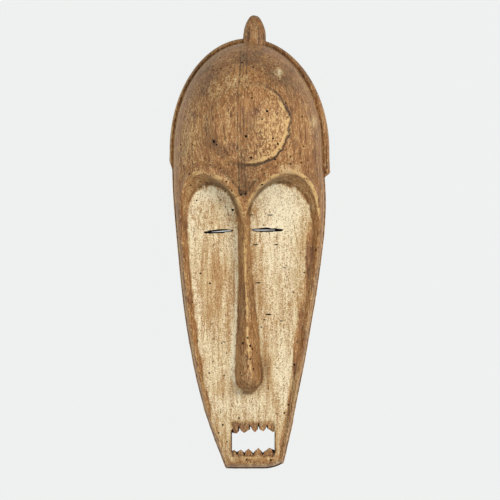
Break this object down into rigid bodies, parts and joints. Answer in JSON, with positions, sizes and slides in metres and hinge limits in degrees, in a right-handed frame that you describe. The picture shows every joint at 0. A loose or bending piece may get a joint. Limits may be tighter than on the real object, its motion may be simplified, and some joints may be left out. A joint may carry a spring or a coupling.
{
  "type": "carved wooden face mask",
  "caption": "Long wooden face mask with a domed forehead, crest band and knob, narrow nose, slit eyes and an open toothed mouth, hollow behind.",
  "frame": {"origin": "on the ground plane, under the middle of the mask's bounding box", "axes": "+X to the viewer's right across the face, +Y along the face from chin to crown, +Z out of the face; the mask lies on its back rim"},
  "size_m": [0.1946, 0.55, 0.153],
  "materials": {
    "carved_wood": "hand-carved, worn low sheen, with rubbed white clay on the face"
  },
  "bodies": {
    "root": {"mask": "carved_wood"}
  },
  "joints": []
}
